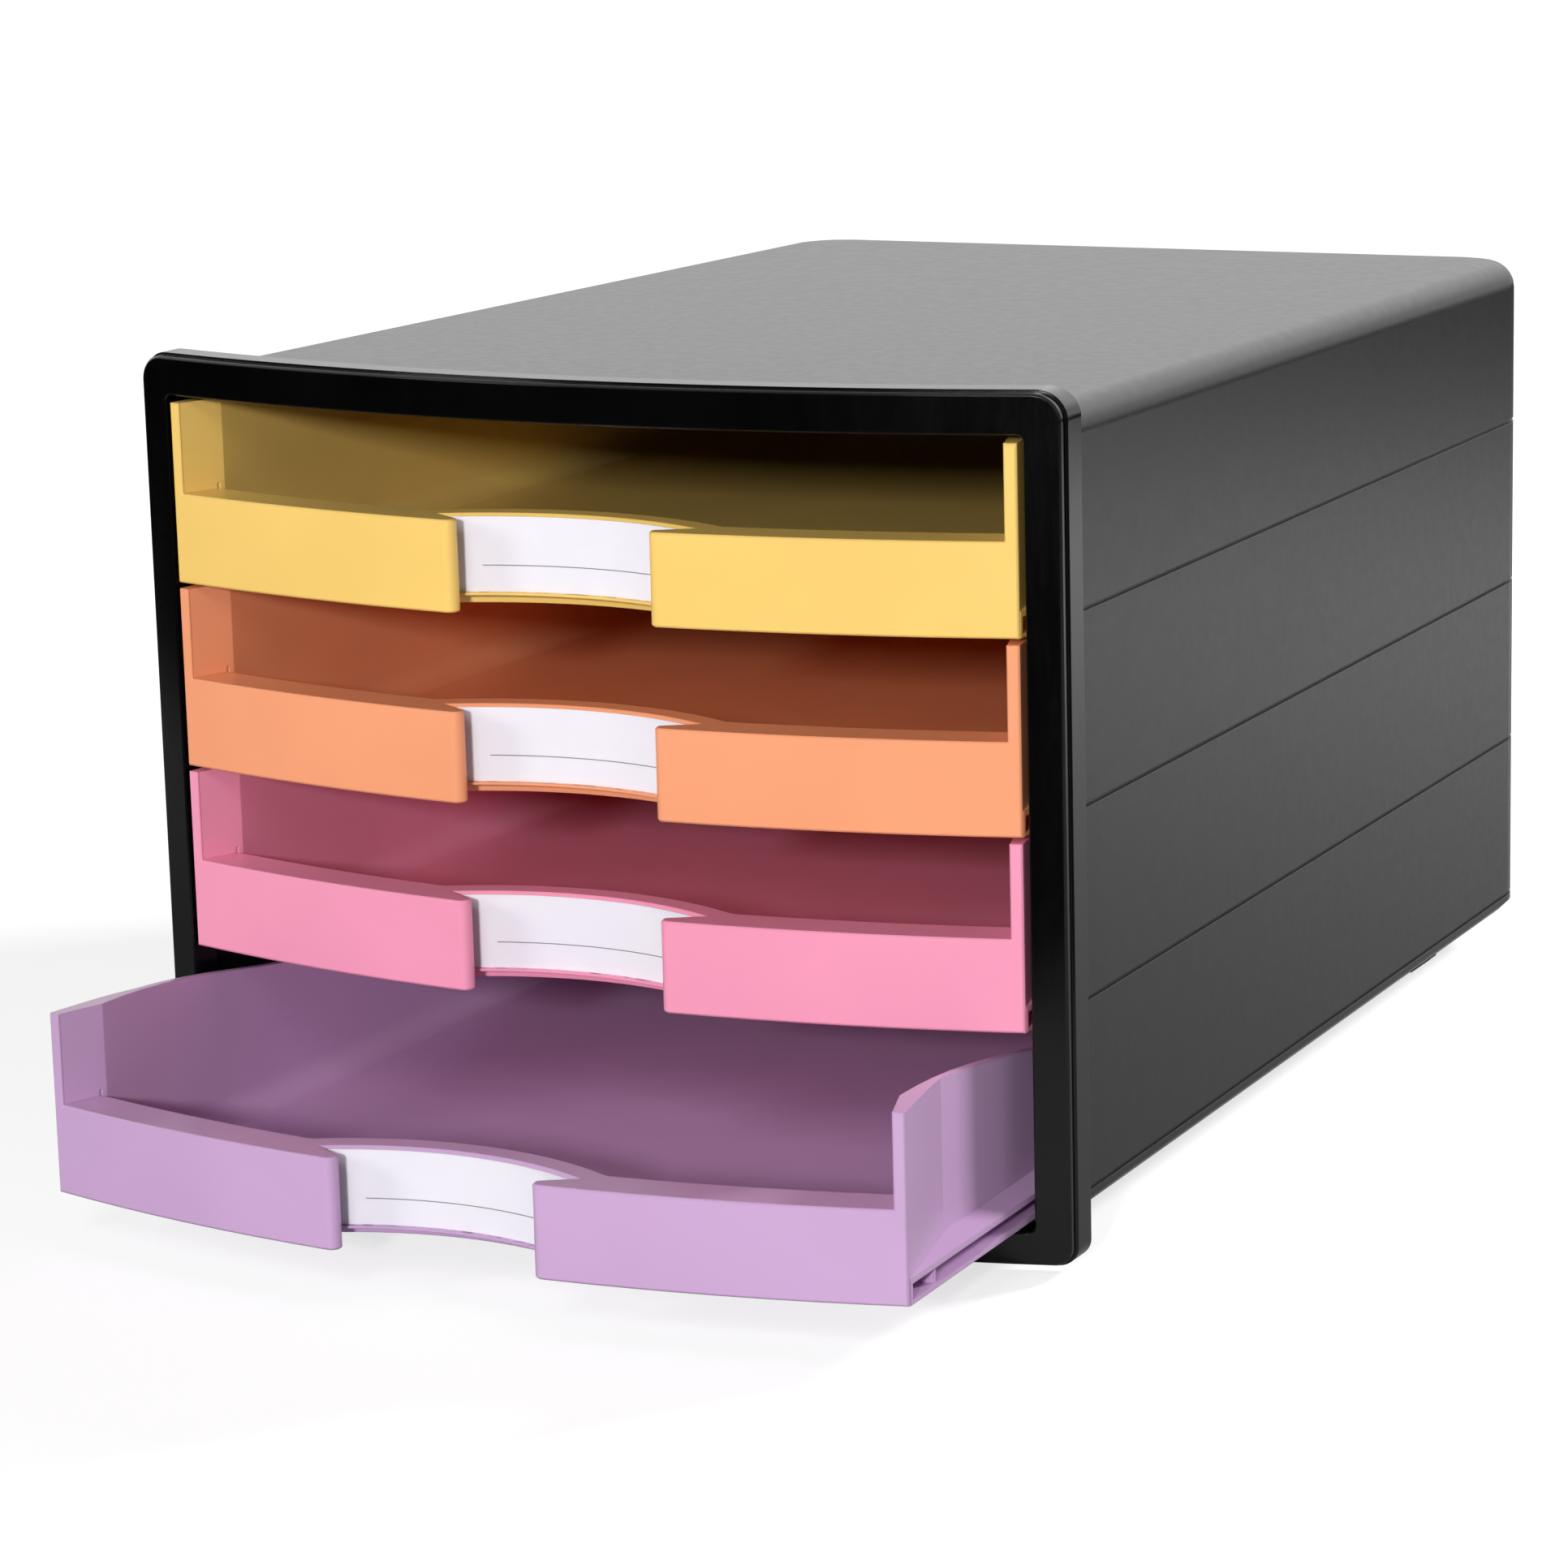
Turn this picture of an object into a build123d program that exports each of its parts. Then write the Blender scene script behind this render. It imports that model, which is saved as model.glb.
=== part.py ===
from build123d import *
import os
from math import sqrt

# Desktop drawer box for sheet paper: a moulded housing with a bowed front frame, and four
# open trays that slide on rails. Millimetres. X runs across, Y from front to back, Z up.
# The shapes are drawn with y = 0 on the plane through the closed drawers' front corners and
# z = 0 on the standing surface, and are moved to the origin when they are written.

# ---- driving dimensions -------------------------------------------------------------------
body_depth = 400.0          # plane of the drawers' front corners to the back of the housing
front_bow = 17.5            # bulge of the front, between the corners of a drawer

frame_overhang = 5.0        # front frame proud of each side of the housing
frame_band = 11.4           # front frame above its opening
frame_depth = 11.0          # front frame, from its face to the housing
frame_ground_gap = 3.0      # lower edge of the front frame above the standing surface
frame_top_radius = 8.0
frame_bottom_radius = 5.0
plate_depth = 3.0           # the frame's front plate, set in from the flange behind it
plate_inset = 0.7
plate_bevel = 0.6
opening_radius = 2.0
opening_bevel = 0.4

drawer_count = 4
drawer_pitch = 52.2
drawer_width = 257.0
drawer_height = 50.5
first_drawer_z = 14.5       # underside of the lowest drawer
drawer_side_gap = 1.6       # drawer front to the side of the frame's opening
drawer_top_gap = 2.0
drawer_sill_gap = 2.0
open_pull = 72.5            # how far the lowest drawer stands open
rear_clearance = 10.0       # closed drawer to the housing's back wall

housing_side_gap = 4.1      # side wall of the housing to the runner flanges of a drawer
housing_narrowing = 4.5     # how far each side leans in from front to back
housing_bottom_z = 12.4
housing_base = 1.6          # thickness of the housing's floor
housing_top_drop = 5.5      # the frame's top above the housing's top, at the front
housing_top_fall = 4.0      # fall of the top from front to back
housing_wall = 2.4
housing_top_radius = 8.5
housing_bottom_bevel = 3.0
housing_rear_radius = 21.0
groove_width = 1.1
groove_depth = 0.9
groove_rise = 5.6           # lowest groove above the underside of the housing

wall = 2.4                  # moulded walls of a tray
floor = 2.2
cove_radius = 7.0
post_face = 3.5             # front edge of a tray's side wall
post_depth = 2.4
flare_length = 33.0         # outside of the side wall, from the front corner to the straight
flare_inner_length = 13.5
flare_inset = 5.5           # straight side wall in from the front corner
tray_rear_height = 37.0
tray_level_length = 15.0    # level stretch of the side wall's top, behind the front
tray_slope_end = 150.0
tray_rear_radius = 22.0

wing_height = 25.2
wing_depth = 13.0           # level top of a wing, from front to back
wing_gap = 59.0             # between the two wings of a front
wing_tip = 3.4              # thickness of a wing at its free end
holder_bow_radius = 93.0    # back edge of the label holder's ledge
holder_reach = 9.0          # middle of that edge behind the corner plane
holder_depth = 7.5          # ledge, from back edge to the label
holder_half = 38.5          # half the width of the recess behind the wings
skirt_z = 3.1               # lower edge of the label holder's face
lip_thickness = 0.8
lip_reach = 1.7
wing_end_radius = 2.6       # upright edge at the free end of a wing
front_bevel = 0.5           # round the outline of the front
ledge_bevel = 1.0
relief_width = 1.4          # notch where a wing's back edge meets the side wall
relief_depth = 1.5

label_half = 36.5
label_height = 20.5
card_thickness = 0.35
window_fit = 0.05           # card to window
window_thickness = 1.1

channel_low = 1.9           # runner channel along each side of a tray, above the underside
channel_high = 5.4
channel_front_low = 1.1     # the lower rim is thinner near the front
ramp_start = 45.0
ramp_end = 55.0
flange_edge = 7.0
flange_root = 9.5
rib_y = 16.5
rib_thickness = 1.2
rib_inset = 0.8             # rib's edge in from the flange's

rail_fit = 0.15             # tray on rail, up and down
rail_thickness = 3.0
rail_side_gap = 0.6
rail_start = 36.0
stop_start = 47.6           # front of the block that stops a drawer
stop_length = 6.0
stop_height = 4.0
stop_gap = 1.0
lug_length = 12.0

foot_length = 34.0
foot_breadth = 24.0
foot_corner = 5.0
foot_side_inset = 35.0      # middle of a foot in from the housing's widest line
foot_front_y = 42.0
foot_rear_inset = 55.0
foot_draft = 1.1            # foot's lower face smaller than its upper one, on each side
pad_height = 2.2
pad_margin = 3.0

# ---- derived ------------------------------------------------------------------------------
drawer_half = drawer_width / 2
bow_radius = (drawer_half**2 + front_bow**2) / (2 * front_bow)
housing_front_half = drawer_half + housing_side_gap + housing_wall
side_taper = housing_narrowing / body_depth
wall_outer = drawer_half - flare_inset
wall_inner = wall_outer - wall
tray_length = body_depth - housing_wall - rear_clearance
channel_length = tray_length - tray_rear_radius
frame_width = 2 * (housing_front_half + frame_overhang)
opening_half = drawer_half + drawer_side_gap
opening_low = first_drawer_z - drawer_sill_gap
opening_high = first_drawer_z + (drawer_count - 1) * drawer_pitch + drawer_height + drawer_top_gap
overall_height = opening_high + frame_band
housing_top_z = overall_height - housing_top_drop
foot_x = housing_front_half - foot_side_inset
foot_rear_y = body_depth - foot_rear_inset
holder_centre_y = holder_reach - holder_bow_radius
label_radius = holder_bow_radius - holder_depth
label_z = skirt_z + lip_thickness
rail_high = channel_high - rail_fit
rail_low = rail_high - rail_thickness
stop_z = flange_root + stop_gap
lug_start = tray_length - tray_rear_radius - lug_length
rib_edge = drawer_half - rib_inset
lug_edge = drawer_half - rail_side_gap
drawer_names = ["lilac", "pink", "orange", "yellow"]
across = 1.5 * frame_width  # longer than any width or height, for cutting tools
clear = 1.0                 # how far a cutting tool passes the face that it cuts
tolerance = 0.01            # for finding an edge or face by its size or place


# ---- helpers ------------------------------------------------------------------------------
def front_y(x, back=0.0):
    """Where the bowed front, or a surface `back` mm behind it, lies at a given x."""
    return bow_radius - front_bow - sqrt((bow_radius - back) ** 2 - x**2)


def holder_y(x, radius):
    """Where an arc of the label holder lies at a given x."""
    return holder_centre_y + sqrt(radius**2 - x**2)


def tapered(x, y):
    """A side line that leans inwards towards the back, as the whole box does."""
    return x - side_taper * y


def bow(half, back):
    left, right = (-half, front_y(half, back)), (half, front_y(half, back))
    return ThreePointArc(left, (0, front_y(0, back)), right)


def closed(*edges):
    return make_face(list(edges))


def polygon(*points):
    return make_face(Polyline(*points, close=True))


def upright(plan, low, high):
    return extrude(Pos(0, 0, low) * plan, high - low, dir=(0, 0, 1))


def through(profile, start, end):
    """An outline seen from the front, made solid from y = start to y = end."""
    return extrude(Pos(0, start, 0) * (Plane.XZ * profile), end - start, dir=(0, 1, 0))


def sideways(profile, half):
    """An outline seen from the side, made solid from x = -half to x = half."""
    return extrude(Plane.YZ * profile, half, both=True)


def leaning(section, start, end):
    """A section drawn at y = 0, run along the leaning side line between two depths."""
    length = end - start
    moved = Pos(-side_taper * start, start, 0) * (Plane.XZ * section)
    run = sqrt(1 + side_taper**2) * length
    return extrude(moved, run, dir=(-side_taper, 1, 0))


def both_sides(solid):
    return solid + mirror(solid, Plane.YZ)


def behind_arc(back):
    """Plan region behind a line parallel to the bowed front."""
    half, far = across / 2, across + body_depth
    front = bow(half, back)
    return closed(front, *Polyline(front @ 0, (-half, far), (half, far), front @ 1).edges())


def bowed_slab(near, far):
    """A slab between two surfaces parallel to the bowed front."""
    return upright(behind_arc(near) - behind_arc(far), 0, overall_height)


# ---- front frame and housing --------------------------------------------------------------
def frame_outline(inset):
    low, high = frame_ground_gap + inset, overall_height - inset
    outline = Pos(0, (low + high) / 2) * Rectangle(frame_width - 2 * inset, high - low)
    corners = outline.vertices().group_by(Axis.Y)
    outline = fillet(corners[-1], frame_top_radius - inset)
    return fillet(outline.vertices().group_by(Axis.Y)[0], frame_bottom_radius - inset)


def front_frame():
    near, far = -2 * front_bow, 2 * frame_depth
    plate = through(frame_outline(plate_inset), near, far)
    plate &= bowed_slab(0, plate_depth)
    face = plate.faces().filter_by(GeomType.CYLINDER).sort_by(Axis.Y)[0]
    plate = chamfer(face.outer_wire().edges(), plate_bevel)
    flange = through(frame_outline(0), near, far)
    flange &= bowed_slab(plate_depth, frame_depth)
    middle = (opening_low + opening_high) / 2
    opening = Pos(0, middle) * RectangleRounded(
        2 * opening_half, opening_high - opening_low, opening_radius
    )
    frame = plate + flange - through(opening, near, far)
    face = frame.faces().filter_by(GeomType.CYLINDER).sort_by(Axis.Y)[0]
    return chamfer(face.inner_wires()[0].edges(), opening_bevel)


def housing_plan(inset, back):
    """The housing seen from above: bowed in front, leaning sides, round back corners."""
    half, near, rear = housing_front_half - inset, -2 * front_bow, body_depth - inset
    corners = [(tapered(half, near), near), (tapered(half, rear), rear)]
    corners += [(-x, y) for x, y in reversed(corners)]
    plan = fillet(polygon(*corners).vertices().group_by(Axis.Y)[-1], housing_rear_radius - inset)
    return plan & behind_arc(back)


def housing_block(inset, base_inset, back, rounded):
    low, high = housing_bottom_z + base_inset, housing_top_z - inset
    near, far = -across, across + body_depth
    fall = housing_top_fall / body_depth
    profile = polygon((near, low), (far, low), (far, high - fall * far), (near, high - fall * near))
    block = upright(housing_plan(inset, back), 0, overall_height) & sideways(profile, across)
    top = block.faces().sort_by(Axis.Z)[-1].edges().filter_by(lambda e: e.center().Y > 0)
    soften = fillet if rounded else chamfer
    block = soften(top, housing_top_radius - inset)
    bottom = block.faces().sort_by(Axis.Z)[0].edges().filter_by(lambda e: e.center().Y > 0)
    return chamfer(bottom, housing_bottom_bevel - base_inset)


def housing_shell():
    shell = housing_block(0, 0, frame_depth, True)
    shell -= housing_block(housing_wall, housing_base, frame_depth / 2, False)
    ring = housing_plan(0, frame_depth) - housing_plan(groove_depth, frame_depth / 2)
    for level in range(drawer_count):
        z = housing_bottom_z + groove_rise + level * drawer_pitch
        shell -= upright(ring, z - groove_width / 2, z + groove_width / 2)
    return shell


def rail():
    """The right-hand rail, with the block that stops a drawer being pulled right out."""
    inner, outer = wall_outer + rail_side_gap, housing_front_half - housing_wall
    bar = polygon((inner, rail_low), (outer, rail_low), (outer, rail_high), (inner, rail_high))
    solid = leaning(bar, rail_start, body_depth - housing_rear_radius)
    hook, post = inner + rail_side_gap, drawer_half + rail_side_gap
    top = stop_z + stop_height
    stop = polygon(
        (post, rail_low), (outer, rail_low), (outer, top), (hook, top), (hook, stop_z), (post, stop_z)
    )
    return solid + leaning(stop, stop_start, stop_start + stop_length)


def foot_outline(margin):
    """Rectangle with cut corners, `margin` mm inside the edge of a foot."""
    outline = Rectangle(foot_length - 2 * margin, foot_breadth - 2 * margin)
    return chamfer(outline.vertices(), foot_corner - margin)


def foot_block():
    lower, upper = foot_outline(foot_draft), foot_outline(0)
    return loft([Pos(0, 0, pad_height) * lower, Pos(0, 0, housing_bottom_z) * upper], ruled=True)


def foot_pad():
    return extrude(foot_outline(pad_margin), pad_height)


# ---- drawer -------------------------------------------------------------------------------
def side_line(front_x, straight_x, flare, end):
    """Plan line of a side wall: flared out to the front corner, then straight."""
    corner, back = (tapered(straight_x, flare), flare), (tapered(straight_x, end), end)
    return Polyline((front_x, -front_bow), (front_x, 0), corner, back).edges()


def tray_plan(front_x, straight_x, flare, end, radius):
    right = side_line(front_x, straight_x, flare, end)
    left = [mirror(edge, Plane.YZ) for edge in right]
    front, back = Line(right[0] @ 0, left[0] @ 0), Line(right[-1] @ 1, left[-1] @ 1)
    plan = closed(front, back, *right, *left)
    return fillet(plan.vertices().group_by(Axis.Y)[-1], radius)


def disc(radius):
    return Pos(0, holder_centre_y) * Circle(radius)


def holder_ledge(outer_radius, inner_radius, half):
    """Plan of a band of the label holder, which is hollow towards the front."""
    strip = Pos(0, holder_centre_y + across / 2) * Rectangle(2 * half, across)
    return (disc(outer_radius) - disc(inner_radius)) & strip


def recess_plan(grow=0.0):
    """Finger and label recess between the wings, wider behind their free ends."""
    tip_half, back_half = wing_gap / 2 + grow, holder_half + grow
    tip_y = front_y(wing_gap / 2) + wing_tip + grow
    back_y = holder_y(holder_half, label_radius) + grow
    side = [(tip_half, -2 * front_bow), (tip_half, tip_y), (back_half, back_y), (back_half, body_depth)]
    outline = polygon(*side, *[(-x, y) for x, y in reversed(side)])
    return outline & disc(label_radius + grow)


def top_trim():
    """Cuts the side walls down behind the front in one smooth S."""
    start, end = (tray_level_length, drawer_height), (tray_slope_end, tray_rear_height)
    curve = Spline(start, end, tangents=[(1, 0), (1, 0)])
    high = 2 * drawer_height
    far = 2 * body_depth
    line = Polyline(end, (far, tray_rear_height), (far, high), (tray_level_length, high), start)
    return sideways(make_face([curve, *line.edges()]), across)


def channel_cut():
    """Runner channel: a plain slot, and a deeper stretch of it near the front."""
    outer = drawer_half + wall
    slot = polygon(
        (wall_outer, channel_low), (outer, channel_low), (outer, channel_high), (wall_outer, channel_high)
    )
    cut = leaning(slot, post_depth, body_depth)
    ramp = Spline(
        (ramp_start, channel_front_low), (ramp_end, channel_low), tangents=[(1, 0), (1, 0)]
    )
    rest = Polyline(
        ramp @ 1,
        (ramp_end, channel_high),
        (post_depth, channel_high),
        (post_depth, channel_front_low),
        ramp @ 0,
    )
    outside = polygon((wall_outer, 0), (outer, 0), (outer, flange_edge), (wall_outer, flange_edge))
    dip = sideways(closed(ramp, *rest.edges()), across) & leaning(outside, 0, ramp_end + clear)
    return both_sides(cut + dip)


def side_section(edge, low, high):
    """Section of what stands out from a tray's right side wall."""
    return polygon((wall_inner, low), (edge, low), (edge, high), (wall_inner, high))


def on_radius(pieces, radius):
    """Those faces or edges whose round shape has the given radius."""
    round_types = (GeomType.CYLINDER, GeomType.CIRCLE)
    return [p for p in pieces if p.geom_type in round_types and abs(p.radius - radius) < tolerance]


def finished_front(body):
    """Rounds the wings' free ends and bevels the front's outline and the label's ledge."""
    tips = body.edges().filter_by(Axis.Z).filter_by_position(Axis.X, -holder_half, holder_half)
    body = fillet(tips.group_by(Axis.Y)[0], wing_end_radius)
    faces = on_radius(body.faces(), bow_radius)
    body = chamfer([edge for face in faces for edge in face.outer_wire().edges()], front_bevel)
    level = body.edges().filter_by_position(Axis.Z, wing_height - tolerance, wing_height + tolerance)
    return chamfer(on_radius(level, label_radius), ledge_bevel)


def relief():
    """Notch in the corner between a wing's back edge and the side wall."""
    low, high = wing_height - relief_depth, wing_height + relief_depth
    corner = Pos(wall_inner, front_y(wall_inner, wing_depth))
    return both_sides(upright(corner * Rectangle(relief_width, relief_width), low, high))


def tray():
    # outer block with the runner flanges, cut to the bowed front
    plan = tray_plan(drawer_half, wall_outer, flare_length, tray_length, tray_rear_radius)
    body = upright(plan, 0, drawer_height)
    flange = polygon(
        (wall_inner, 0),
        (drawer_half, 0),
        (drawer_half, flange_edge),
        (wall_outer, flange_root),
        (wall_inner, flange_root),
    )
    body += both_sides(leaning(flange, post_depth / 2, channel_length))
    body &= upright(behind_arc(0), 0, drawer_height)

    # inside: open above the wings, and down to the floor behind them
    inner_end, inner_radius = tray_length - wall, tray_rear_radius - wall
    inner = tray_plan(
        drawer_half - post_face, wall_inner, flare_inner_length, inner_end, inner_radius
    )
    body -= upright(inner, wing_height, 2 * drawer_height)
    well = inner & behind_arc(wing_depth)
    well -= holder_ledge(holder_bow_radius, label_radius / 2, holder_half + wing_depth)
    pocket = upright(well, floor, wing_height + clear)
    low_edges = pocket.faces().sort_by(Axis.Z)[0].edges()
    body -= fillet(low_edges.filter_by(lambda e: e.center().Y > flare_length), cove_radius)

    # hollow underside of the wings, the recess between them and the holder's face
    hollow = (inner & behind_arc(wall)) - behind_arc(wing_depth - wall) - recess_plan(wall)
    hollow += holder_ledge(holder_bow_radius - wall, label_radius + wall, holder_half)
    body -= upright(hollow, -clear, wing_height - wall)
    body -= upright(recess_plan(), -clear, drawer_height)
    skirt = holder_ledge(label_radius + wall, label_radius, holder_half)
    body -= upright(skirt, -clear, skirt_z)
    lip = holder_ledge(label_radius + wall, label_radius - lip_reach, holder_half - wall)
    body += upright(lip, skirt_z, label_z)

    # side walls, runner channels, ribs and pull-out lugs
    body = finished_front(body) - relief()
    body -= top_trim()
    body -= channel_cut()
    rib = side_section(rib_edge, 0, flange_edge)
    body += both_sides(leaning(rib, rib_y, rib_y + rib_thickness))
    lug = side_section(lug_edge, flange_edge, stop_z + stop_height)
    return body + both_sides(leaning(lug, lug_start, lug_start + lug_length))


def sheet(back_radius, thickness, height):
    """A thin upright sheet that lies against the hollow face of the label holder."""
    band = holder_ledge(back_radius, back_radius - thickness, label_half)
    return upright(band, label_z, label_z + height)


def label_card():
    return sheet(label_radius, card_thickness, label_height)


def label_window():
    return sheet(label_radius - card_thickness - window_fit, window_thickness, label_height)


# ---- write --------------------------------------------------------------------------------
pieces = {"tray": tray(), "label_card": label_card(), "label_window": label_window()}
foremost = pieces["tray"].bounding_box().min.Y - open_pull
origin_y = -(foremost + body_depth) / 2


def save(shape, name, x=0.0, y=0.0, z=0.0):
    export_step(Pos(x, y + origin_y, z) * shape, f"parts/{name}.step")


os.makedirs("parts", exist_ok=True)
save(front_frame(), "front_frame")
save(housing_shell(), "housing_shell")

block, pad = foot_block(), foot_pad()
for end_name, y in (("front", foot_front_y), ("rear", foot_rear_y)):
    for side_name, x in (("left", -foot_x), ("right", foot_x)):
        save(block, f"foot_block_{end_name}_{side_name}", x, y)
        save(pad, f"foot_pad_{end_name}_{side_name}", x, y)

right_rail = rail()
rails = {"right": right_rail, "left": mirror(right_rail, Plane.YZ)}
for level, colour in enumerate(drawer_names):
    z = first_drawer_z + level * drawer_pitch
    pull = open_pull if level == 0 else 0
    for name, piece in pieces.items():
        save(piece, f"{colour}_{name}", 0, -pull, z)
    for side_name, piece in rails.items():
        save(piece, f"{colour}_rail_{side_name}", 0, 0, z)
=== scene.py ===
"""Desktop drawer box for sheet paper, dressed for a product picture.

The moulded solids come from the frame. This file gives each of them its plastic, paper or
rubber, adds the ruled line of each label and the ribbed pads under the feet, and sets up the
floor, the lamps and the camera. All lengths are metres, as in the frame.
"""

import math

import bpy
from mathutils import Matrix, Vector


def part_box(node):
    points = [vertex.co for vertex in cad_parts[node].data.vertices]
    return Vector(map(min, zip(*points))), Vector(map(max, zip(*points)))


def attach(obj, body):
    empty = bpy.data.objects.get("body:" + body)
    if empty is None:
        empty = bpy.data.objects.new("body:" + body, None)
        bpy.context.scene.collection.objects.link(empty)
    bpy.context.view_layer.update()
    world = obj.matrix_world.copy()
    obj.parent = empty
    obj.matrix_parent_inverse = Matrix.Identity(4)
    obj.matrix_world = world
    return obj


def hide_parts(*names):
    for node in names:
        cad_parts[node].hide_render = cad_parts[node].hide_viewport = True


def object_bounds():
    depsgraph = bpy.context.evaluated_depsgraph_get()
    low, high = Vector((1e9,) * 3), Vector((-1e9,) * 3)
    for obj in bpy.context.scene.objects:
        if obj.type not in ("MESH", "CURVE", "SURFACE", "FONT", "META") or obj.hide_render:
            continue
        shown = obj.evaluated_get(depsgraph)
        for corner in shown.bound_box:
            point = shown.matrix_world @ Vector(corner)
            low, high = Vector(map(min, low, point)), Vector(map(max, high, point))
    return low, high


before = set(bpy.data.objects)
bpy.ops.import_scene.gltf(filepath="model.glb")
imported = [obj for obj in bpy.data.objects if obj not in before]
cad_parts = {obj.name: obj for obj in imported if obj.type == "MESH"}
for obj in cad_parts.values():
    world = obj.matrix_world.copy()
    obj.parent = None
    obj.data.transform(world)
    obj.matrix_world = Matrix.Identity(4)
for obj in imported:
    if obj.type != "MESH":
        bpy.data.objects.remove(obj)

bl_info = {
    "name": "Drawer Box Dressing",
    "version": (1, 0, 0),
    "blender": (4, 5, 0),
    "location": "3D View > Sidebar > Drawer Box",
    "description": "Finishes a desktop paper drawer box and lights it for a product picture",
    "category": "Object",
}

MM = 0.001
CAD_BOX = [list(corner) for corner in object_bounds()]
AIM = Vector((0.0, -0.12, 0.1))  # where the lamps point
DRAWERS = ("lilac", "pink", "orange", "yellow")
PAD_NODES = [f"foot_pad_{end}_{side}" for end in ("front", "rear") for side in ("left", "right")]
HOUSING_NODES = [
    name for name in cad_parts
    if name.startswith(("housing", "foot_block")) or "_rail_" in name
]
NOISE_SPAN = (0.35, 0.65)  # most values of a noise texture lie between these
WHITE = (1.0, 1.0, 1.0)
NEARLY_BLACK = (0.01, 0.01, 0.01)


# ---- colours ------------------------------------------------------------------------------
def linear(shown):
    """One channel as a display shows it, 0 to 255, as the linear value that a shader takes."""
    shown /= 255
    return shown / 12.92 if shown <= 0.04045 else ((shown + 0.055) / 1.055) ** 2.4


def display(red, green, blue):
    """A colour given as a display shows it."""
    return tuple(linear(shown) for shown in (red, green, blue))


# ---- settings -----------------------------------------------------------------------------
def length(name, default, text):
    """A size in metres."""
    return bpy.props.FloatProperty(
        name=name, description=text, default=default, min=0.0, unit="LENGTH", precision=5
    )


def share(name, default, text):
    """A value from 0 to 1."""
    return bpy.props.FloatProperty(
        name=name, description=text, default=default, min=0.0, max=1.0, subtype="FACTOR"
    )


def colour(name, default, text):
    return bpy.props.FloatVectorProperty(
        name=name, description=text, default=default, size=3, min=0.0, max=1.0, subtype="COLOR"
    )


def turn(name, degrees, text):
    return bpy.props.FloatProperty(
        name=name, description=text, default=math.radians(degrees), unit="ROTATION"
    )


def lamp_power(name, watts, text):
    return bpy.props.FloatProperty(
        name=name, description=text, default=watts, min=0.0, unit="POWER"
    )


def level(name, default, text):
    return bpy.props.FloatProperty(name=name, description=text, default=default, min=0.0, max=10.0)


class HousingFinish(bpy.types.PropertyGroup):
    body_colour: colour("Housing", display(11, 11, 12), "Satin black of the housing")
    body_roughness: share("Housing roughness", 0.3, "Roughness of the satin plastic")
    body_grain: length("Grain size", 0.7 * MM, "Size of the fine moulded grain")
    body_reflection: share("Housing reflection", 0.45, "Strength of the satin reflection")
    frame_colour: colour("Front frame", display(4, 4, 5), "Gloss black of the front frame")
    frame_roughness: share("Frame roughness", 0.14, "Roughness of the polished plastic")
    frame_reflection: share("Frame reflection", 0.5, "Strength of the polished reflection")
    edge_round: length("Edge rounding", 0.45 * MM, "Softening of the moulded edges")


class TrayFinish(bpy.types.PropertyGroup):
    lilac: colour("Lilac", display(206, 169, 212), "Colour of the lowest drawer")
    pink: colour("Pink", display(253, 160, 192), "Colour of the second drawer")
    orange: colour("Orange", display(253, 166, 122), "Colour of the third drawer")
    yellow: colour("Yellow", display(252, 210, 116), "Colour of the top drawer")
    roughness: share("Roughness", 0.3, "Roughness of the satin plastic")
    grain: length("Grain size", 0.5 * MM, "Size of the fine moulded grain")
    speckle: share("Speckle", 0.08, "Strength of the fine colour speckle")
    reflection: share("Reflection", 0.4, "Strength of the satin reflection")
    edge_round: length("Edge rounding", 0.5 * MM, "Softening of the moulded edges")


class LabelFinish(bpy.types.PropertyGroup):
    paper: colour("Paper", display(243, 240, 248), "Colour of the label card")
    ink: colour("Rule", display(120, 114, 128), "Colour of the ruled line")
    card: length("Card", 0.35 * MM, "Thickness of the label card")
    rule_height: length("Rule height", 7.2 * MM, "Ruled line above the card's lower edge")
    rule_width: length("Rule width", 0.28 * MM, "Thickness of the ruled line")
    rule_start: length("Rule margin", 9.5 * MM, "Bare paper to the left of the ruled line")
    rule_depth: length("Ink depth", 0.04 * MM, "How far the ink stands off the card")
    clear: share("Window alpha", 0.06, "How much of the clear window covers the label")


class PadShape(bpy.types.PropertyGroup):
    rubber: colour("Rubber", display(38, 38, 39), "Colour of the rubber pads")
    rib_count: bpy.props.IntProperty(
        name="Ribs", description="Ribs across one pad", default=7, min=2, max=20
    )
    rib_height: length("Rib height", 0.7 * MM, "Depth of the grooves between the ribs")
    rib_share: share("Rib share", 0.6, "Share of the rib spacing that is rib")


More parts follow.
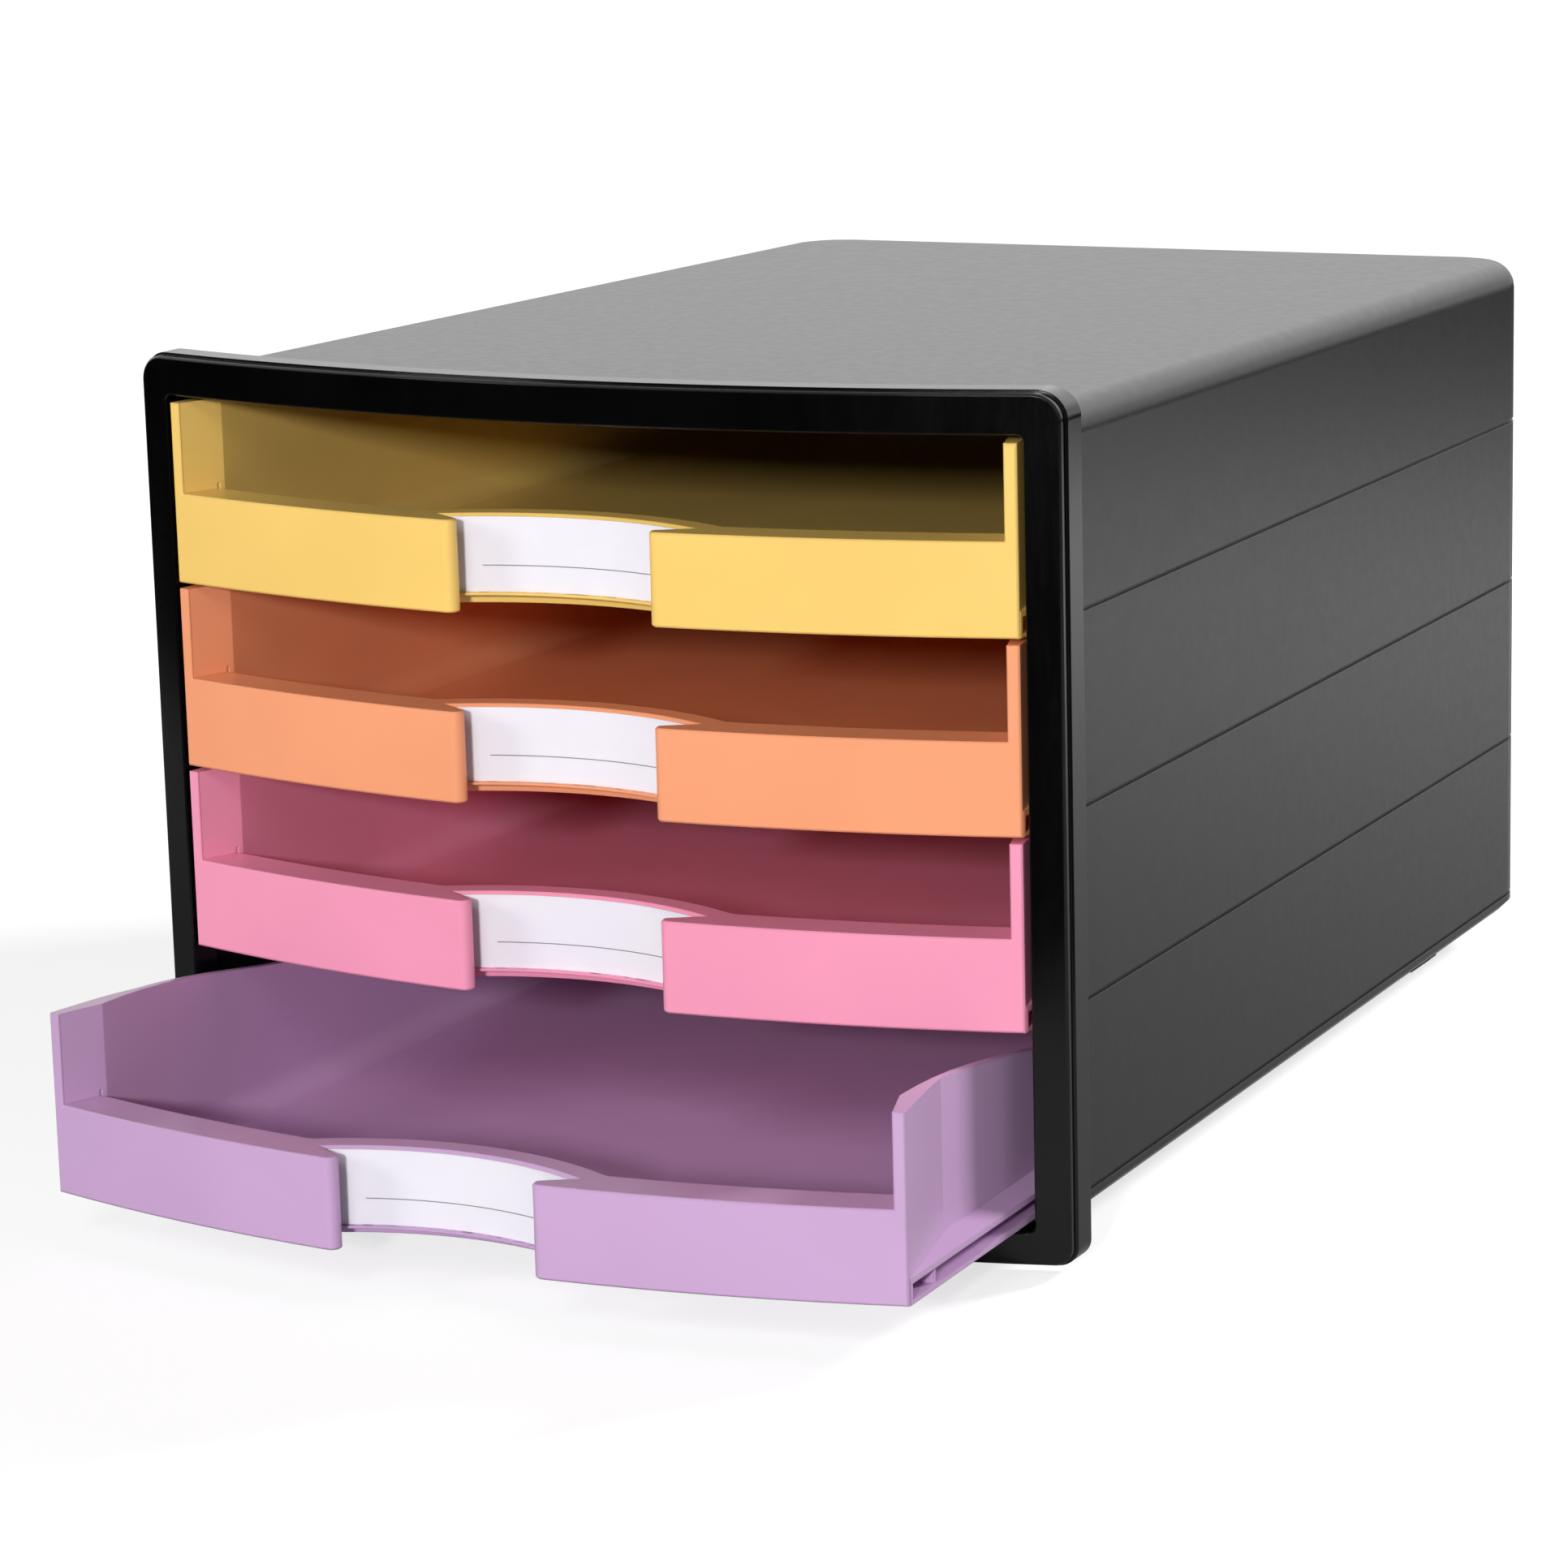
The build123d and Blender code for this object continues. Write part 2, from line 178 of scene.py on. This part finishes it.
class StageSettings(bpy.types.PropertyGroup):
    focal: bpy.props.FloatProperty(
        name="Focal length", description="Lens of the camera", default=112.96, unit="CAMERA"
    )
    eye: bpy.props.FloatVectorProperty(
        name="Eye", description="Place of the camera", default=(0.6404, -1.2819, 0.4059),
        subtype="TRANSLATION", unit="LENGTH",
    )
    heading: turn("Heading", 27.27, "Turn of the view to the left of straight ahead")
    tilt: turn("Tilt", 12.37, "Tilt of the view below the horizon")
    roll: turn("Roll", -1.485, "Roll of the camera")
    floor: colour("Floor", (0.5, 0.5, 0.5), "Colour of the floor")
    floor_lift: share("Floor lift", 0.72, "Light added to the floor near the box, for the camera")
    lift_start: length("Lift start", 0.35, "Distance at which the floor begins to turn white")
    lift_end: length("Lift end", 0.9, "Distance beyond which the floor is white")
    pale_strip_reach: length("Table reach", 0.16, "Pale table in front, as glossy surfaces see it")
    pale_strip_fade: length("Table edge", 0.06, "Width of the table's soft edge")
    key: lamp_power("Key lamp", 52.0, "Low lamp at the front, to the right")
    high: lamp_power("High lamp", 9.0, "Broad lamp high in front")
    left: lamp_power("Left lamp", 7.5, "Broad lamp at the front left")
    rim: lamp_power("Rim lamp", 22.0, "Lamp behind the box on the right")
    fill_front: level("Fill, front", 0.03, "Soft light from the room in front")
    fill_back: level("Fill, back", 0.08, "Soft light from the room behind")
    fill_low: level("Fill, low", 0.1, "Soft light that comes in low from the front")
    gloss_front: level("Reflection, front", 0.03, "Room in front, as glossy surfaces see it")
    gloss_back: level("Reflection, back", 1.1, "Wall behind, as glossy surfaces see it")


# ---- node helpers -------------------------------------------------------------------------
class NodeTree:
    """Short ways to add, set and join the nodes of one tree."""

    def __init__(self, tree):
        self.tree = tree

    def add(self, kind, settings=None, **inputs):
        """Adds a node. An input's name is written with _ for each space."""
        node = self.tree.nodes.new(kind)
        for key, value in (settings or {}).items():
            setattr(node, key, value)
        for key, value in inputs.items():
            self.set(node, key.replace("_", " "), value)
        return node

    def set(self, node, key, value):
        """Links an input of the node to another node's output, or gives it a value."""
        socket = node.inputs[key]
        if isinstance(value, bpy.types.NodeSocket):
            self.tree.links.new(value, socket)
        elif socket.type == "RGBA":
            socket.default_value = (*value, 1.0)
        else:
            socket.default_value = value

    def math(self, operation, first, second):
        node = self.add("ShaderNodeMath", {"operation": operation})
        self.set(node, 0, first)
        self.set(node, 1, second)
        return node.outputs[0]

    def ramp(self, value, start, end, first, last, interpolation="LINEAR"):
        """Goes from first to last while the value goes from start to end."""
        node = self.add(
            "ShaderNodeMapRange", {"interpolation_type": interpolation}, Value=value,
            From_Min=start, From_Max=end, To_Min=first, To_Max=last,
        )
        return node.outputs["Result"]


class Shader(NodeTree):
    """A new material, with the patterns that the finishes share."""

    def __init__(self, name):
        self.material = bpy.data.materials.new(name)
        self.material.use_nodes = True
        super().__init__(self.material.node_tree)
        self.surface = self.tree.nodes["Principled BSDF"]
        self.place = self.add("ShaderNodeTexCoord").outputs["Object"]

    def noise(self, size, detail=2.0, distortion=0.0):
        """Noise whose features are about `size` metres across."""
        node = self.add(
            "ShaderNodeTexNoise", Vector=self.place, Scale=1 / size, Detail=detail,
            Distortion=distortion,
        )
        return node.outputs["Fac"]

    def vary(self, noise, low=0.0, high=1.0, span=NOISE_SPAN):
        """Carries a noise value over to the range from low to high."""
        return self.ramp(noise, *span, low, high)

    def blend(self, factor, first, second):
        """Mixes two colours, which are inputs 6 and 7 of the node."""
        node = self.add("ShaderNodeMix", {"data_type": "RGBA"})
        for key, value in ((0, factor), (6, first), (7, second)):
            self.set(node, key, value)
        return node.outputs[2]

    def cloud(self, tone, size, darkest, lightest, detail=2.0):
        """The tone in clouds about `size` metres across, darkest to lightest times as light."""
        amount = self.vary(self.noise(size, detail))
        return self.blend(amount, shade(tone, darkest), shade(tone, lightest))

    def relief(self, height, depth, strength, edge_round):
        """Bump over edges that are rounded off by `edge_round`."""
        bevel = self.add("ShaderNodeBevel", {"samples": 3}, Radius=edge_round)
        bump = self.add(
            "ShaderNodeBump", Height=height, Distance=depth, Strength=strength,
            Normal=bevel.outputs["Normal"],
        )
        return bump.outputs["Normal"]

    def finish(self, **inputs):
        """Gives the surface its inputs and hands the material over."""
        for key, value in inputs.items():
            self.set(self.surface, key.replace("_", " "), value)
        return self.material


def shade(tone, factor):
    """The tone, `factor` times as light."""
    return tuple(min(1.0, channel * factor) for channel in tone)


# ---- finishes -----------------------------------------------------------------------------
def satin_black(finish):
    """Housing plastic: a fine eroded grain with a soft sheen that varies a little."""
    made = Shader("satin_black_plastic")
    tone, rough, grain = tuple(finish.body_colour), finish.body_roughness, finish.body_grain
    base = made.cloud(tone, 60 * MM, darkest=0.95, lightest=1.05, detail=3.0)
    dust = made.vary(made.noise(1.6 * grain, detail=1.0), high=0.35, span=(0.6, 0.78))
    height = made.noise(grain, detail=3.0)
    return made.finish(
        Base_Color=made.blend(dust, base, shade(tone, 2.0)),
        Roughness=made.vary(made.noise(4 * MM, detail=4.0), rough - 0.015, rough + 0.02),
        Normal=made.relief(height, depth=0.03 * MM, strength=0.5, edge_round=finish.edge_round),
        Specular_IOR_Level=finish.body_reflection,
    )


def polished_black(finish):
    """Front frame: polished plastic with faint flow waves and hairline rubs."""
    made = Shader("polished_black_plastic")
    tone, rough = tuple(finish.frame_colour), finish.frame_roughness
    # squeezing the height draws the rubs out into upright streaks
    upright = made.add("ShaderNodeMapping", Vector=made.place, Scale=(1.0, 1.0, 0.18))
    rubs = made.add(
        "ShaderNodeTexNoise", Vector=upright.outputs["Vector"], Scale=1 / (9 * MM), Detail=6.0,
        Roughness=0.75,
    )
    waves = made.noise(18 * MM, detail=1.0)
    return made.finish(
        Base_Color=made.cloud(tone, 35 * MM, darkest=0.8, lightest=1.25),
        Roughness=made.vary(rubs.outputs["Fac"], rough - 0.03, rough + 0.05),
        Normal=made.relief(waves, depth=0.05 * MM, strength=0.25, edge_round=finish.edge_round),
        Specular_IOR_Level=finish.frame_reflection,
    )


def pastel_plastic(name, tone, finish):
    """Tray plastic: an even pastel with a fine speckle and a satin grain."""
    made = Shader(f"{name}_satin_plastic")
    rough, grain = finish.roughness, finish.grain
    base = made.cloud(tone, 45 * MM, darkest=0.975, lightest=1.02)
    fleck = made.vary(made.noise(1.1 * grain), high=finish.speckle, span=(0.55, 0.75))
    height = made.noise(grain)
    return made.finish(
        Base_Color=made.blend(fleck, base, shade(tone, 0.88)),
        Roughness=made.vary(made.noise(30 * MM), rough - 0.015, rough + 0.015),
        Normal=made.relief(height, depth=0.01 * MM, strength=0.25, edge_round=finish.edge_round),
        Specular_IOR_Level=finish.reflection,
    )


def label_paper(finish):
    """Card stock: matt, faintly fibrous."""
    made = Shader("label_paper")
    fibre = made.noise(0.35 * MM, detail=5.0, distortion=1.5)
    return made.finish(
        Base_Color=made.cloud(
            tuple(finish.paper), 14 * MM, darkest=0.985, lightest=1.0, detail=3.0
        ),
        Roughness=made.vary(fibre, 0.78, 0.9),
        Normal=made.relief(fibre, depth=0.01 * MM, strength=0.3, edge_round=0.05 * MM),
    )


def printing_ink(finish):
    """The ruled line's ink, a little uneven along its length."""
    made = Shader("label_ink")
    return made.finish(
        Base_Color=made.cloud(
            tuple(finish.ink), 1.5 * MM, darkest=0.9, lightest=1.15, detail=3.0
        ),
        Roughness=0.7,
    )


def clear_plastic(finish):
    """Label window: clear, with a faint haze and ripple."""
    made = Shader("clear_window_plastic")
    haze = made.vary(made.noise(20 * MM))
    ripple = made.noise(16 * MM, detail=1.0)
    return made.finish(
        Base_Color=made.blend(haze, (0.93, 0.92, 0.97), (0.98, 0.98, 1.0)),
        Roughness=made.vary(made.noise(8 * MM, detail=3.0), 0.1, 0.16),
        Normal=made.relief(ripple, depth=0.03 * MM, strength=0.2, edge_round=0.15 * MM),
        Alpha=finish.clear,
    )


def pad_rubber(shape):
    """Soft rubber: dull, with a fine open grain."""
    made = Shader("pad_rubber")
    height = made.noise(0.4 * MM, detail=4.0)
    return made.finish(
        Base_Color=made.cloud(
            tuple(shape.rubber), 3 * MM, darkest=0.8, lightest=1.2, detail=4.0
        ),
        Roughness=made.vary(made.noise(1.5 * MM, detail=3.0), 0.72, 0.88),
        Normal=made.relief(height, depth=0.05 * MM, strength=0.5, edge_round=0.2 * MM),
    )


def dress(names, material):
    """Puts a finish on solids of the frame."""
    for name in names:
        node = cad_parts[name]
        if not node.material_slots:
            node.data.materials.append(material)
        for slot in node.material_slots:
            slot.material = material


# ---- geometry nodes -----------------------------------------------------------------------
class GeometryTree(NodeTree):
    """A geometry node tree with named inputs, ended by Realize Instances and Set Material."""

    def __init__(self, name, inputs):
        super().__init__(bpy.data.node_groups.new(name, "GeometryNodeTree"))
        face = self.tree.interface
        self.identifiers = {}
        for key, kind in inputs.items():
            socket = face.new_socket(key, in_out="INPUT", socket_type=kind)
            self.identifiers[key] = socket.identifier
        face.new_socket("Geometry", in_out="OUTPUT", socket_type="NodeSocketGeometry")
        self.given = self.tree.nodes.new("NodeGroupInput").outputs

    def vector(self, x=0.0, y=0.0, z=0.0):
        return self.add("ShaderNodeCombineXYZ", X=x, Y=y, Z=z).outputs[0]

    def end(self, geometry):
        """Closes the tree, so that the shape comes out as real, painted faces."""
        realised = self.add("GeometryNodeRealizeInstances", Geometry=geometry)
        painted = self.add(
            "GeometryNodeSetMaterial", Geometry=realised.outputs[0], Material=self.given["Material"]
        )
        out = self.tree.nodes.new("NodeGroupOutput")
        self.tree.links.new(painted.outputs[0], out.inputs[0])

    def grow(self, name, values):
        """Makes a plain mesh object from the tree, with the given values for its inputs."""
        holder = bpy.data.objects.new(name, bpy.data.meshes.new(name))
        bpy.context.collection.objects.link(holder)
        modifier = holder.modifiers.new("grow", "NODES")
        modifier.node_group = self.tree
        for key, value in values.items():
            modifier[self.identifiers[key]] = value
        graph = bpy.context.evaluated_depsgraph_get()
        mesh = bpy.data.meshes.new_from_object(holder.evaluated_get(graph))
        holder.modifiers.remove(modifier)
        holder.data = mesh
        mesh.name = name
        return holder


def rule_tree():
    """A thin inked strip that follows the curve of a label card."""
    made = GeometryTree("label_rule", {
        "Centre": "NodeSocketVector",
        "Radius": "NodeSocketFloat",
        "Start Angle": "NodeSocketFloat",
        "Sweep": "NodeSocketFloat",
        "Width": "NodeSocketFloat",
        "Depth": "NodeSocketFloat",
        "Material": "NodeSocketMaterial",
    })
    given = made.given
    arc = made.add(
        "GeometryNodeCurveArc", Resolution=48, Radius=given["Radius"],
        Start_Angle=given["Start Angle"], Sweep_Angle=given["Sweep"],
    )
    stroke = made.add(
        "GeometryNodeCurvePrimitiveQuadrilateral", Width=given["Depth"], Height=given["Width"]
    )
    strip = made.add(
        "GeometryNodeCurveToMesh", Curve=arc.outputs["Curve"], Profile_Curve=stroke.outputs[0],
        Fill_Caps=True,
    )
    moved = made.add(
        "GeometryNodeTransform", Geometry=strip.outputs[0], Translation=given["Centre"]
    )
    made.end(moved.outputs[0])
    return made


def pad_tree():
    """Ribbed rubber pads: a plate and a row of ribs under it, set out at four places."""
    made = GeometryTree("ribbed_pads", {
        "Size": "NodeSocketVector",
        "Spread": "NodeSocketVector",
        "Middle": "NodeSocketVector",
        "Ribs": "NodeSocketInt",
        "Rib Height": "NodeSocketFloat",
        "Rib Share": "NodeSocketFloat",
        "Material": "NodeSocketMaterial",
    })
    given = made.given
    size = made.add("ShaderNodeSeparateXYZ", Vector=given["Size"]).outputs
    plate_height = made.math("SUBTRACT", size["Z"], given["Rib Height"])
    half_ribs = made.math("MULTIPLY", given["Rib Height"], 0.5)
    plate = made.add(
        "GeometryNodeMeshCube", Size=made.vector(size["X"], size["Y"], plate_height)
    )
    lifted = made.add(
        "GeometryNodeTransform", Geometry=plate.outputs[0], Translation=made.vector(z=half_ribs)
    )
    # one rib, and a row of them under the plate
    pitch = made.math("DIVIDE", size["X"], given["Ribs"])
    rib_width = made.math("MULTIPLY", pitch, given["Rib Share"])
    rib = made.add(
        "GeometryNodeMeshCube", Size=made.vector(rib_width, size["Y"], given["Rib Height"])
    )
    row_start = made.math("MULTIPLY", made.math("SUBTRACT", size["X"], pitch), -0.5)
    drop = made.math("MULTIPLY", plate_height, -0.5)
    row = made.add(
        "GeometryNodeMeshLine", Count=given["Ribs"],
        Start_Location=made.vector(row_start, 0.0, drop), Offset=made.vector(pitch),
    )
    ribs = made.add("GeometryNodeInstanceOnPoints", Points=row.outputs[0], Instance=rib.outputs[0])
    pad = made.add("GeometryNodeJoinGeometry")
    made.set(pad, 0, lifted.outputs[0])
    made.set(pad, 0, ribs.outputs[0])
    spread = made.add("ShaderNodeSeparateXYZ", Vector=given["Spread"]).outputs
    places = made.add(
        "GeometryNodeMeshGrid", Size_X=spread["X"], Size_Y=spread["Y"], Vertices_X=2, Vertices_Y=2
    )
    pads = made.add(
        "GeometryNodeInstanceOnPoints", Points=places.outputs[0], Instance=pad.outputs[0]
    )
    moved = made.add(
        "GeometryNodeTransform", Geometry=pads.outputs[0], Translation=given["Middle"]
    )
    made.end(moved.outputs[0])
    return made


# ---- operators ----------------------------------------------------------------------------
class DressHousing(bpy.types.Operator):
    """Gives the housing, its rails and its feet their satin black plastic"""

    bl_idname = "drawer_box.dress_housing"
    bl_label = "Dress Housing"

    def execute(self, context):
        dress(HOUSING_NODES, satin_black(context.scene.drawer_housing))
        return {"FINISHED"}


class DressFrame(bpy.types.Operator):
    """Gives the bowed front frame its polished black plastic"""

    bl_idname = "drawer_box.dress_frame"
    bl_label = "Dress Front Frame"

    def execute(self, context):
        dress(["front_frame"], polished_black(context.scene.drawer_housing))
        return {"FINISHED"}


class DressTrays(bpy.types.Operator):
    """Gives each drawer's tray its pastel plastic"""

    bl_idname = "drawer_box.dress_trays"
    bl_label = "Dress Trays"

    def execute(self, context):
        finish = context.scene.drawer_trays
        for name in DRAWERS:
            tone = tuple(getattr(finish, name))
            dress([f"{name}_tray"], pastel_plastic(name, tone, finish))
        return {"FINISHED"}


class DressLabels(bpy.types.Operator):
    """Gives the label cards their paper and the windows their clear plastic"""

    bl_idname = "drawer_box.dress_labels"
    bl_label = "Dress Labels"

    def execute(self, context):
        finish = context.scene.drawer_labels
        dress([f"{name}_label_card" for name in DRAWERS], label_paper(finish))
        dress([f"{name}_label_window" for name in DRAWERS], clear_plastic(finish))
        return {"FINISHED"}


class RuleLabels(bpy.types.Operator):
    """Draws the ruled line on each label card"""

    bl_idname = "drawer_box.rule_labels"
    bl_label = "Rule Labels"

    def execute(self, context):
        finish = context.scene.drawer_labels
        tree, ink = rule_tree(), printing_ink(finish)
        for name in DRAWERS:
            # the card's front face is an arc, with its chord and its rise from the card's box
            low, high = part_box(f"{name}_label_card")
            half_chord = (high[0] - low[0]) / 2
            rise = high[1] - low[1] - finish.card
            radius = (half_chord**2 + rise**2) / (2 * rise)
            half_angle = math.asin(half_chord / radius)
            margin = finish.rule_start / radius
            rule = tree.grow(f"{name}_label_rule", {
                "Centre": (0.0, high[1] - finish.card - radius, low[2] + finish.rule_height),
                "Radius": radius,
                "Start Angle": math.pi / 2 - half_angle,
                "Sweep": 2 * half_angle - margin,
                "Width": finish.rule_width,
                "Depth": finish.rule_depth,
                "Material": ink,
            })
            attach(rule, f"{name}_drawer")
        return {"FINISHED"}


class MakePads(bpy.types.Operator):
    """Replaces the four plain foot pads with ribbed rubber ones"""

    bl_idname = "drawer_box.make_pads"
    bl_label = "Make Foot Pads"

    def execute(self, context):
        shape = context.scene.drawer_pads
        boxes = [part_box(name) for name in PAD_NODES]
        low, high = (Vector(corner) for corner in boxes[0])
        middles = [(Vector(a) + Vector(b)) / 2 for a, b in boxes]
        xs, ys = [m.x for m in middles], [m.y for m in middles]
        middle = sum(middles, Vector()) / len(middles)
        pads = pad_tree().grow("foot_pads_ribbed", {
            "Size": tuple(high - low),
            "Spread": (max(xs) - min(xs), max(ys) - min(ys), 0.0),
            "Middle": tuple(middle),
            "Ribs": shape.rib_count,
            "Rib Height": shape.rib_height,
            "Rib Share": shape.rib_share,
            "Material": pad_rubber(shape),
        })
        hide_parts(*PAD_NODES)
        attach(pads, "housing")
        return {"FINISHED"}


class SetStage(bpy.types.Operator):
    """Lays the floor and sets up the room, the lamps and the camera"""

    bl_idname = "drawer_box.set_stage"
    bl_label = "Set Stage"

    def execute(self, context):
        stage = context.scene.drawer_stage
        lay_floor(stage)
        light_room(context.scene, stage)
        hang_lamp("key_lamp", stage.key, heading=17.0, rise=14.6, distance=3.0, size=0.2)
        hang_lamp("high_lamp", stage.high, heading=10.0, rise=34.0, distance=2.2, size=0.6)
        hang_lamp("left_lamp", stage.left, heading=-38.0, rise=22.0, distance=2.0, size=0.45)
        rim = hang_lamp("rim_lamp", stage.rim, heading=143.0, rise=25.0, distance=1.6, size=0.28)
        rim.visible_glossy = False  # the top would show it as a white patch
        place_camera(context.scene, stage)
        context.scene.view_settings.view_transform = "Standard"
        return {"FINISHED"}


# ---- stage --------------------------------------------------------------------------------
def lay_floor(stage):
    """A pale floor that keeps the shadow and turns white away from the box.

    For glossy rays it is painted nearly black from a little way in front of the box: a painted dark
    reflection, so glossy surfaces see only a short pale strip.
    """
    half = 6.0
    mesh = bpy.data.meshes.new("floor")
    corners = [(-half, -half, 0.0), (half, -half, 0.0), (half, half, 0.0), (-half, half, 0.0)]
    mesh.from_pydata(corners, [], [(0, 1, 2, 3)])
    floor = bpy.data.objects.new("floor", mesh)
    bpy.context.collection.objects.link(floor)
    made = Shader("pale_floor")
    path = made.add("ShaderNodeLightPath").outputs
    depth = made.add("ShaderNodeSeparateXYZ", Vector=made.place).outputs["Y"]
    front = CAD_BOX[0][1] - stage.pale_strip_reach
    beyond = made.ramp(depth, front, front - stage.pale_strip_fade, 0.0, 1.0)
    # painted dark reflection: glossy rays see the floor nearly black beyond the pale strip in front
    # of the box
    dark_reflection_mask = made.math("MULTIPLY", path["Is Glossy Ray"], beyond)
    away = made.add("ShaderNodeVectorMath", {"operation": "LENGTH"})
    made.set(away, 0, made.place)
    lift = made.ramp(
        away.outputs["Value"], stage.lift_start, stage.lift_end, stage.floor_lift, 1.0
    )
    seen = made.math("MAXIMUM", path["Is Camera Ray"], path["Is Transmission Ray"])
    mesh.materials.append(made.finish(
        Base_Color=made.blend(dark_reflection_mask, tuple(stage.floor), NEARLY_BLACK),
        Roughness=1.0,
        Specular_IOR_Level=0.0,
        Emission_Color=WHITE,
        Emission_Strength=made.math("MULTIPLY", seen, lift),
    ))


def light_room(scene, stage):
    """A white backdrop for the camera, soft light from a dim room, and a bright wall behind.

    Only glossy surfaces see the wall, which is brightest in its upper part.
    """
    world = bpy.data.worlds.new("studio")
    scene.world = world
    world.use_nodes = True
    world.node_tree.nodes.clear()
    made = NodeTree(world.node_tree)
    path = made.add("ShaderNodeLightPath").outputs
    place = made.add("ShaderNodeTexCoord").outputs["Generated"]
    direction = made.add("ShaderNodeSeparateXYZ", Vector=place).outputs

    def change(axis, start, end, first, last):
        """A level that changes smoothly with the direction that light comes from."""
        return made.ramp(direction[axis], start, end, first, last, "SMOOTHSTEP")

    def choose(ray, otherwise, when):
        """One level for this kind of ray, and the other level for the rest."""
        pick = made.add("ShaderNodeMix")
        for key, value in ((0, path[ray]), (2, otherwise), (3, when)):
            made.set(pick, key, value)
        return pick.outputs[0]

    front_to_back = (-0.6, 0.6)
    room = change("Y", *front_to_back, stage.fill_front, stage.fill_back)
    low = change("Z", 0.12, 0.5, stage.fill_low, 0.0)
    ahead = change("Y", -0.75, -0.15, 1.0, 0.0)
    fill = made.math("ADD", room, made.math("MULTIPLY", low, ahead))
    wall = change("Y", *front_to_back, stage.gloss_front, stage.gloss_back)
    gloss = made.math("MULTIPLY", wall, change("Z", 0.12, 0.32, 0.75, 1.5))
    strength = choose("Is Camera Ray", choose("Is Glossy Ray", fill, gloss), 1.0)
    glow = made.add("ShaderNodeBackground", Color=WHITE, Strength=strength)
    made.add("ShaderNodeOutputWorld", Surface=glow.outputs[0])


def hang_lamp(name, power, heading, rise, distance, size):
    """A square lamp. Its heading, to the right of straight in front, and rise are in degrees."""
    lamp = bpy.data.lights.new(name, "AREA")
    lamp.size = size
    lamp.energy = power
    holder = bpy.data.objects.new(name, lamp)
    lifted = Matrix.Rotation(-math.radians(rise), 3, "X")
    away = Matrix.Rotation(math.radians(heading), 3, "Z") @ lifted @ Vector((0.0, -distance, 0.0))
    holder.location = AIM + away
    holder.rotation_euler = (-away).to_track_quat("-Z", "Y").to_euler()
    bpy.context.collection.objects.link(holder)
    return holder


def place_camera(scene, stage):
    """The camera of the picture: its heading, tilt and roll about its own place."""
    data = bpy.data.cameras.new("camera")
    data.sensor_width = 36.0
    data.lens = stage.focal
    camera = bpy.data.objects.new("camera", data)
    upright = Matrix.Rotation(math.pi / 2, 4, "X")
    turned = Matrix.Rotation(stage.heading, 4, "Z") @ upright
    tilted = turned @ Matrix.Rotation(-stage.tilt, 4, "X") @ Matrix.Rotation(stage.roll, 4, "Z")
    camera.matrix_world = Matrix.Translation(stage.eye) @ tilted
    bpy.context.collection.objects.link(camera)
    scene.camera = camera


# ---- panel and registration ---------------------------------------------------------------
STEPS = (DressHousing, DressFrame, DressTrays, DressLabels, RuleLabels, MakePads, SetStage)
SETTINGS = {
    "drawer_housing": HousingFinish,
    "drawer_trays": TrayFinish,
    "drawer_labels": LabelFinish,
    "drawer_pads": PadShape,
    "drawer_stage": StageSettings,
}


class DrawerBoxPanel(bpy.types.Panel):
    """Lists the steps and the settings of the drawer box"""

    bl_idname = "VIEW3D_PT_drawer_box"
    bl_label = "Drawer Box"
    bl_space_type = "VIEW_3D"
    bl_region_type = "UI"
    bl_category = "Drawer Box"

    def draw(self, context):
        for step in STEPS:
            self.layout.operator(step.bl_idname)
        for name, group in SETTINGS.items():
            box = self.layout.box()
            box.label(text=name.replace("_", " ").title())
            for key in group.__annotations__:
                box.prop(getattr(context.scene, name), key)


def register():
    for group in (*SETTINGS.values(), *STEPS, DrawerBoxPanel):
        bpy.utils.register_class(group)
    for name, group in SETTINGS.items():
        setattr(bpy.types.Scene, name, bpy.props.PointerProperty(type=group))


def unregister():
    for name in SETTINGS:
        delattr(bpy.types.Scene, name)
    for group in (DrawerBoxPanel, *reversed(STEPS), *reversed(SETTINGS.values())):
        bpy.utils.unregister_class(group)


def main():
    register()
    for step in STEPS:
        group, name = step.bl_idname.split(".")
        getattr(getattr(bpy.ops, group), name)()


if __name__ == "__main__":
    main()
